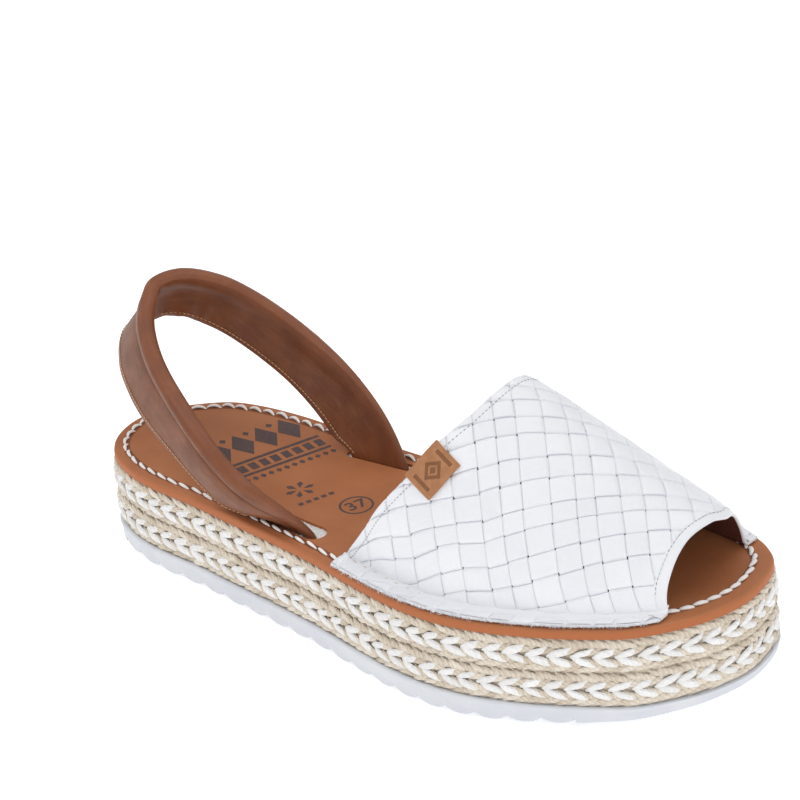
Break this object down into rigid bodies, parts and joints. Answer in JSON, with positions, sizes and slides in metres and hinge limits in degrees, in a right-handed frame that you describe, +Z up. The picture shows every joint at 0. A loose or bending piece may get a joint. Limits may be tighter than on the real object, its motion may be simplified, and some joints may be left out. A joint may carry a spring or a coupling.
{
  "type": "sandal",
  "caption": "Right-foot platform sandal: woven white leather peep-toe vamp, brown leather heel strap, tan stitched footbed, braided jute sides, white scalloped sole",
  "frame": {"origin": "the middle of the bounding box on the floor, under the sole", "axes": "+X towards the toe, +Y towards the inner side of the foot, +Z up"},
  "size_m": [0.2524, 0.0964, 0.0937],
  "materials": {
    "outsole": "satin white moulded rubber",
    "midsole": "matt white foam",
    "jute_braid": "hairy jute plaited with white cord",
    "footbed": "smooth tan leather",
    "vamp": "glossy white leather strips",
    "heel_strap": "waxed brown leather",
    "label_tab": "matt tan leather"
  },
  "bodies": {
    "root": {"outsole": "outsole", "midsole": "midsole", "jute_braid_lower": "jute_braid", "jute_braid_upper": "jute_braid", "footbed": "footbed", "vamp": "vamp", "heel_strap": "heel_strap", "label_tab": "label_tab"}
  },
  "joints": []
}
